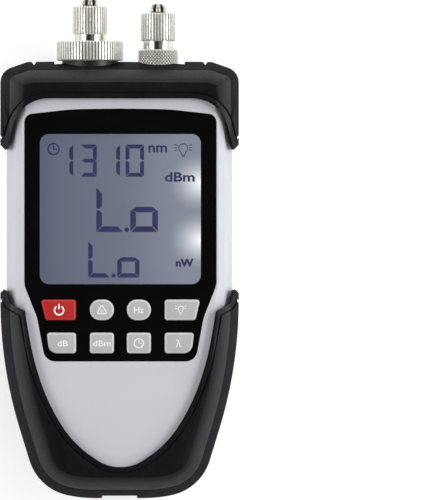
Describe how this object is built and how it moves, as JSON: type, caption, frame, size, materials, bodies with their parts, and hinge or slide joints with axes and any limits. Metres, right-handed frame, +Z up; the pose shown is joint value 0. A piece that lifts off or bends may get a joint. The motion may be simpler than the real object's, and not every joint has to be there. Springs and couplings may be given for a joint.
{
  "type": "optical power meter",
  "caption": "Handheld fibre-optic power meter in a silver case with black rubber ends, large display, rubber-domed keys, capped detector and source ports, and a rear tilt stand.",
  "frame": {"origin": "middle of the footprint, on the surface that the meter lies on (its back)", "axes": "+Z up out of the display, +Y from the foot towards the fibre ports, +X to the right as the display is read"},
  "size_m": [0.068, 0.1428, 0.038],
  "materials": {
    "silver_plastic": "silver satin moulded plastic, fine grain",
    "black_rubber": "black overmoulded rubber, matte",
    "black_panel": "black satin-gloss printed panel",
    "clear_window": "clear glossy window",
    "display_glass": "blue-grey liquid crystal display",
    "white_plastic": "white moulded plastic",
    "light_guide": "milky light guide",
    "grey_silicone": "translucent grey silicone",
    "circuit_board": "green solder-masked board",
    "chip_black": "black moulded packages",
    "screw_steel": "zinc-plated steel",
    "battery_case": "thin painted metal jacket over cells",
    "contact_brass": "spring brass",
    "nickel": "bright nickel-plated brass",
    "diode_steel": "nickel-plated steel can",
    "ceramic": "white zirconia",
    "red_key": "red satin moulded key",
    "grey_key": "grey satin moulded key"
  },
  "bodies": {
    "case": {"front_housing": "silver_plastic", "rear_housing": "silver_plastic", "battery_cover": "silver_plastic", "upper_bumper": "black_rubber", "lower_bumper": "black_rubber", "control_panel": "black_panel", "lcd_window": "clear_window", "lcd_glass": "display_glass", "lcd_frame": "white_plastic", "backlight_guide": "light_guide", "connector_strips": "grey_silicone", "key_mat": "grey_silicone", "main_board": "circuit_board", "board_chips": "chip_black", "buzzer": "chip_black", "battery_snap": "chip_black", "housing_screws": "screw_steel", "board_screws": "screw_steel", "cover_screw": "screw_steel", "battery": "battery_case", "battery_contacts": "contact_brass", "detector_socket": "nickel", "source_collar": "nickel", "source_receptacle": "nickel", "photodiode": "diode_steel", "source_module": "diode_steel", "source_sleeve": "ceramic"},
    "adapter": {"detector_adapter": "nickel", "detector_sleeve": "ceramic"},
    "ring": {"coupling_ring": "nickel"},
    "detector_swivel": {"detector_cap_swivel": "nickel"},
    "detector_cap": {"detector_cap": "nickel"},
    "source_swivel": {"source_cap_swivel": "nickel"},
    "source_cap": {"source_cap": "nickel"},
    "stand": {"tilt_stand": "silver_plastic"},
    "power_button": {"power_key": "red_key"},
    "laser_button": {"laser_key": "grey_key"},
    "tone_button": {"tone_key": "grey_key"},
    "backlight_button": {"backlight_key": "grey_key"},
    "relative_button": {"relative_key": "grey_key"},
    "absolute_button": {"absolute_key": "grey_key"},
    "timer_button": {"timer_key": "grey_key"},
    "wavelength_button": {"wavelength_key": "grey_key"}
  },
  "joints": [
    {"name": "power_press", "type": "slide", "parent": "case", "child": "power_button", "axis": [0, 0, -1], "range_m": [0, 0.0008], "stiffness_N_per_m": 1500, "springref_m": -0.0002, "deforming": ["key_mat"]},
    {"name": "laser_press", "type": "slide", "parent": "case", "child": "laser_button", "axis": [0, 0, -1], "range_m": [0, 0.0008], "stiffness_N_per_m": 1500, "springref_m": -0.0002, "deforming": ["key_mat"]},
    {"name": "tone_press", "type": "slide", "parent": "case", "child": "tone_button", "axis": [0, 0, -1], "range_m": [0, 0.0008], "stiffness_N_per_m": 1500, "springref_m": -0.0002, "deforming": ["key_mat"]},
    {"name": "backlight_press", "type": "slide", "parent": "case", "child": "backlight_button", "axis": [0, 0, -1], "range_m": [0, 0.0008], "stiffness_N_per_m": 1500, "springref_m": -0.0002, "deforming": ["key_mat"]},
    {"name": "relative_press", "type": "slide", "parent": "case", "child": "relative_button", "axis": [0, 0, -1], "range_m": [0, 0.0008], "stiffness_N_per_m": 1500, "springref_m": -0.0002, "deforming": ["key_mat"]},
    {"name": "absolute_press", "type": "slide", "parent": "case", "child": "absolute_button", "axis": [0, 0, -1], "range_m": [0, 0.0008], "stiffness_N_per_m": 1500, "springref_m": -0.0002, "deforming": ["key_mat"]},
    {"name": "timer_press", "type": "slide", "parent": "case", "child": "timer_button", "axis": [0, 0, -1], "range_m": [0, 0.0008], "stiffness_N_per_m": 1500, "springref_m": -0.0002, "deforming": ["key_mat"]},
    {"name": "wavelength_press", "type": "slide", "parent": "case", "child": "wavelength_button", "axis": [0, 0, -1], "range_m": [0, 0.0008], "stiffness_N_per_m": 1500, "springref_m": -0.0002, "deforming": ["key_mat"]},
    {"name": "stand_hinge", "type": "hinge", "parent": "case", "child": "stand", "pos_m": [0, 0.02465, 0.00295], "axis": [1, 0, 0], "range_deg": [0, 55]},
    {"name": "adapter_lift", "type": "slide", "parent": "case", "child": "adapter", "axis": [0, 1, 0], "range_m": [0, 0.0025]},
    {"name": "ring_turn", "type": "hinge", "parent": "adapter", "child": "ring", "pos_m": [-0.0084, 0.05605, 0.019], "axis": [0, 1, 0], "range_deg": [0, 902]},
    {"name": "detector_cap_lift", "type": "slide", "parent": "adapter", "child": "detector_swivel", "axis": [0, 1, 0], "range_m": [0, 0.0054]},
    {"name": "detector_cap_turn", "type": "hinge", "parent": "detector_swivel", "child": "detector_cap", "pos_m": [-0.0084, 0.06465, 0.019], "axis": [0, 1, 0], "range_deg": [0, 2596]},
    {"name": "source_cap_lift", "type": "slide", "parent": "case", "child": "source_swivel", "axis": [0, 1, 0], "range_m": [0, 0.0054]},
    {"name": "source_cap_turn", "type": "hinge", "parent": "source_swivel", "child": "source_cap", "pos_m": [0.011, 0.06265, 0.019], "axis": [0, 1, 0], "range_deg": [0, 2596]}
  ],
  "couplings": [
    {"joint": "ring_turn", "follows": "adapter_lift", "rad_per_m": 6283.2},
    {"joint": "detector_cap_turn", "follows": "detector_cap_lift", "rad_per_m": 8377.6},
    {"joint": "source_cap_turn", "follows": "source_cap_lift", "rad_per_m": 8377.6}
  ]
}
